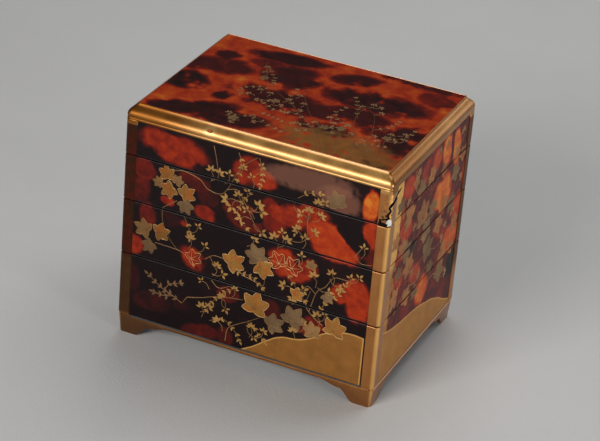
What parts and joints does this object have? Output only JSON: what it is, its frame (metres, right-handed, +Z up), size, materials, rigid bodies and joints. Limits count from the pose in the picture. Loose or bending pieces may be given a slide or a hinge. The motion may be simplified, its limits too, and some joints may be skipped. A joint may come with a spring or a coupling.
{
  "type": "tiered food box",
  "caption": "Rectangular stack of open lacquered food trays under a lift-off lid with a moulded rim, standing on low bracket feet.",
  "frame": {"origin": "middle of the rectangle that the feet stand on, at the soles", "axes": "+X along the front's width to the right, +Y from the front to the back, +Z up"},
  "size_m": [0.148, 0.1118, 0.134],
  "materials": {
    "tortoiseshell_lacquer": "glossy lacquer over wood, amber and dark brown mottling, gold posts, black inside"
  },
  "bodies": {
    "root": {"lid": "tortoiseshell_lacquer", "top_tier": "tortoiseshell_lacquer", "middle_tier": "tortoiseshell_lacquer", "bottom_tier": "tortoiseshell_lacquer"}
  },
  "joints": []
}
